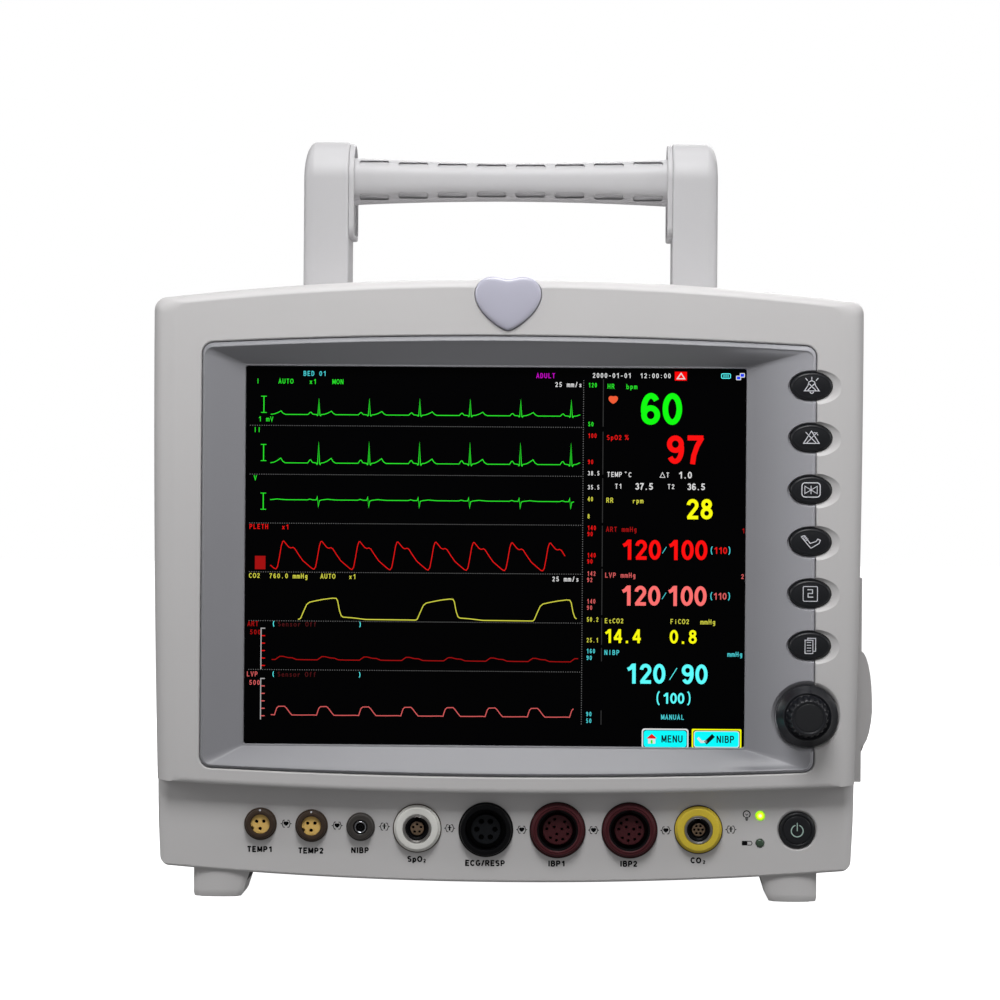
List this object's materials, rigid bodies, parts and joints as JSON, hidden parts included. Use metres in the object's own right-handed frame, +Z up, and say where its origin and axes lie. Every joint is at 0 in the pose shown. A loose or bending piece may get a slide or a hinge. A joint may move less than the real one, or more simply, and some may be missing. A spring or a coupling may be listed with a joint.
{
  "type": "patient monitor",
  "caption": "Bedside monitor with a recessed display, side keys, a control knob, a row of patient sockets, a carrying handle and a side paper recorder.",
  "frame": {"origin": "centre of the bounding box's bottom, on the table that the feet stand on", "axes": "+Z up, front of the display facing -Y, +X to the right seen from the front"},
  "size_m": [0.3604, 0.165, 0.378],
  "materials": {
    "housing": "warm light grey moulded plastic with a fine spark texture",
    "handle": "pale grey moulded plastic, slightly smoother than the housing",
    "surround": "cool mid-grey satin plastic",
    "screen": "black display behind an anti-glare window",
    "metal_case": "plated sheet steel",
    "bright_metal": "turned and plated metal",
    "gold_contact": "gold-plated contact block with a fine sandblasted face",
    "alarm_lens": "milky lilac-white lamp lens",
    "key_rubber": "charcoal satin keycaps with pale printed symbols",
    "knob": "near-black semi-gloss plastic",
    "board": "green solder-masked circuit board",
    "dark_plastic": "black moulded plastic",
    "platen": "black rubber",
    "white_plastic": "white socket body",
    "maroon_plastic": "dark red socket body",
    "yellow_plastic": "yellow socket body",
    "lit_lens": "lit yellow-green indicator",
    "dark_lens": "unlit dark green indicator",
    "paper": "plain thermal paper"
  },
  "bodies": {
    "root": {"front_housing": "housing", "rear_housing": "housing", "foot_front_left": "housing", "foot_front_right": "housing", "foot_rear_left": "housing", "foot_rear_right": "housing", "recorder_frame": "housing", "handle_arm_left": "handle", "handle_arm_right": "handle", "handle_grip": "handle", "display_surround": "surround", "display_window": "screen", "lcd_module": "metal_case", "chassis": "metal_case", "power_supply": "metal_case", "network_port": "metal_case", "bracket_plate": "metal_case", "encoder_base": "bright_metal", "print_head": "bright_metal", "recorder_hinge_pin": "bright_metal", "insert_cuff": "bright_metal", "insert_temperature_1": "gold_contact", "insert_temperature_2": "gold_contact", "alarm_lamp": "alarm_lens", "key_board": "board", "main_board": "board", "socket_temperature_1": "dark_plastic", "socket_temperature_2": "dark_plastic", "socket_cuff": "dark_plastic", "socket_ecg": "dark_plastic", "insert_oximeter": "dark_plastic", "insert_ecg": "dark_plastic", "insert_pressure_1": "dark_plastic", "insert_pressure_2": "dark_plastic", "insert_gas": "dark_plastic", "mains_inlet": "dark_plastic", "battery_pack": "dark_plastic", "cuff_pump": "dark_plastic", "speaker": "dark_plastic", "socket_oximeter": "white_plastic", "socket_pressure_1": "maroon_plastic", "socket_pressure_2": "maroon_plastic", "socket_gas": "yellow_plastic", "power_led": "lit_lens", "battery_led": "dark_lens"},
    "power_button": {"power_button": "key_rubber"},
    "encoder_plunger": {"encoder_plunger": "dark_plastic"},
    "control_knob": {"control_knob": "knob", "encoder_shaft": "bright_metal"},
    "recorder_door": {"recorder_door": "housing"},
    "paper_roll": {"paper_roll": "paper"},
    "platen_roller": {"platen_roller": "platen"},
    "recorder_latch": {"recorder_latch": "key_rubber"},
    "battery_door": {"battery_door": "housing"},
    "key_1": {"key_1": "key_rubber"},
    "key_2": {"key_2": "key_rubber"},
    "key_3": {"key_3": "key_rubber"},
    "key_4": {"key_4": "key_rubber"},
    "key_5": {"key_5": "key_rubber"},
    "key_6": {"key_6": "key_rubber"}
  },
  "joints": [
    {"name": "key_1_press", "type": "slide", "parent": "root", "child": "key_1", "axis": [0, 1, 0], "range_m": [0, 0.0015], "stiffness_N_per_m": 600, "springref_m": -0.001},
    {"name": "key_2_press", "type": "slide", "parent": "root", "child": "key_2", "axis": [0, 1, 0], "range_m": [0, 0.0015], "stiffness_N_per_m": 600, "springref_m": -0.001},
    {"name": "key_3_press", "type": "slide", "parent": "root", "child": "key_3", "axis": [0, 1, 0], "range_m": [0, 0.0015], "stiffness_N_per_m": 600, "springref_m": -0.001},
    {"name": "key_4_press", "type": "slide", "parent": "root", "child": "key_4", "axis": [0, 1, 0], "range_m": [0, 0.0015], "stiffness_N_per_m": 600, "springref_m": -0.001},
    {"name": "key_5_press", "type": "slide", "parent": "root", "child": "key_5", "axis": [0, 1, 0], "range_m": [0, 0.0015], "stiffness_N_per_m": 600, "springref_m": -0.001},
    {"name": "key_6_press", "type": "slide", "parent": "root", "child": "key_6", "axis": [0, 1, 0], "range_m": [0, 0.0015], "stiffness_N_per_m": 600, "springref_m": -0.001},
    {"name": "power_button_press", "type": "slide", "parent": "root", "child": "power_button", "axis": [0, 1, 0], "range_m": [0, 0.0012], "stiffness_N_per_m": 800, "springref_m": -0.001},
    {"name": "encoder_plunger_press", "type": "slide", "parent": "root", "child": "encoder_plunger", "axis": [0, 1, 0], "range_m": [0, 0.0008], "stiffness_N_per_m": 2500, "springref_m": -0.0008},
    {"name": "control_knob_turn", "type": "hinge", "parent": "encoder_plunger", "child": "control_knob", "pos_m": [0.1418, -0.0675, 0.0923], "axis": [0, 1, 0], "continuous": true},
    {"name": "recorder_door_hinge", "type": "hinge", "parent": "root", "child": "recorder_door", "pos_m": [0.1768, -0.0675, 0.0631], "axis": [0, 1, 0], "range_deg": [0, 85]},
    {"name": "paper_roll_turn", "type": "hinge", "parent": "root", "child": "paper_roll", "pos_m": [0.1412, -0.0675, 0.093], "axis": [0, 1, 0], "continuous": true},
    {"name": "platen_roller_turn", "type": "hinge", "parent": "root", "child": "platen_roller", "pos_m": [0.1668, -0.0675, 0.1124], "axis": [0, 1, 0], "continuous": true},
    {"name": "recorder_latch_press", "type": "slide", "parent": "root", "child": "recorder_latch", "axis": [-1, 0, 0], "range_m": [0, 0.0018], "stiffness_N_per_m": 600, "springref_m": -0.001},
    {"name": "battery_door_hinge", "type": "hinge", "parent": "root", "child": "battery_door", "pos_m": [-0.1766, -0.0675, 0.0599], "axis": [0, -1, 0], "range_deg": [0, 90]}
  ],
  "couplings": [
    {"joint": "platen_roller_turn", "follows": "paper_roll_turn", "ratio": -3.7778}
  ]
}
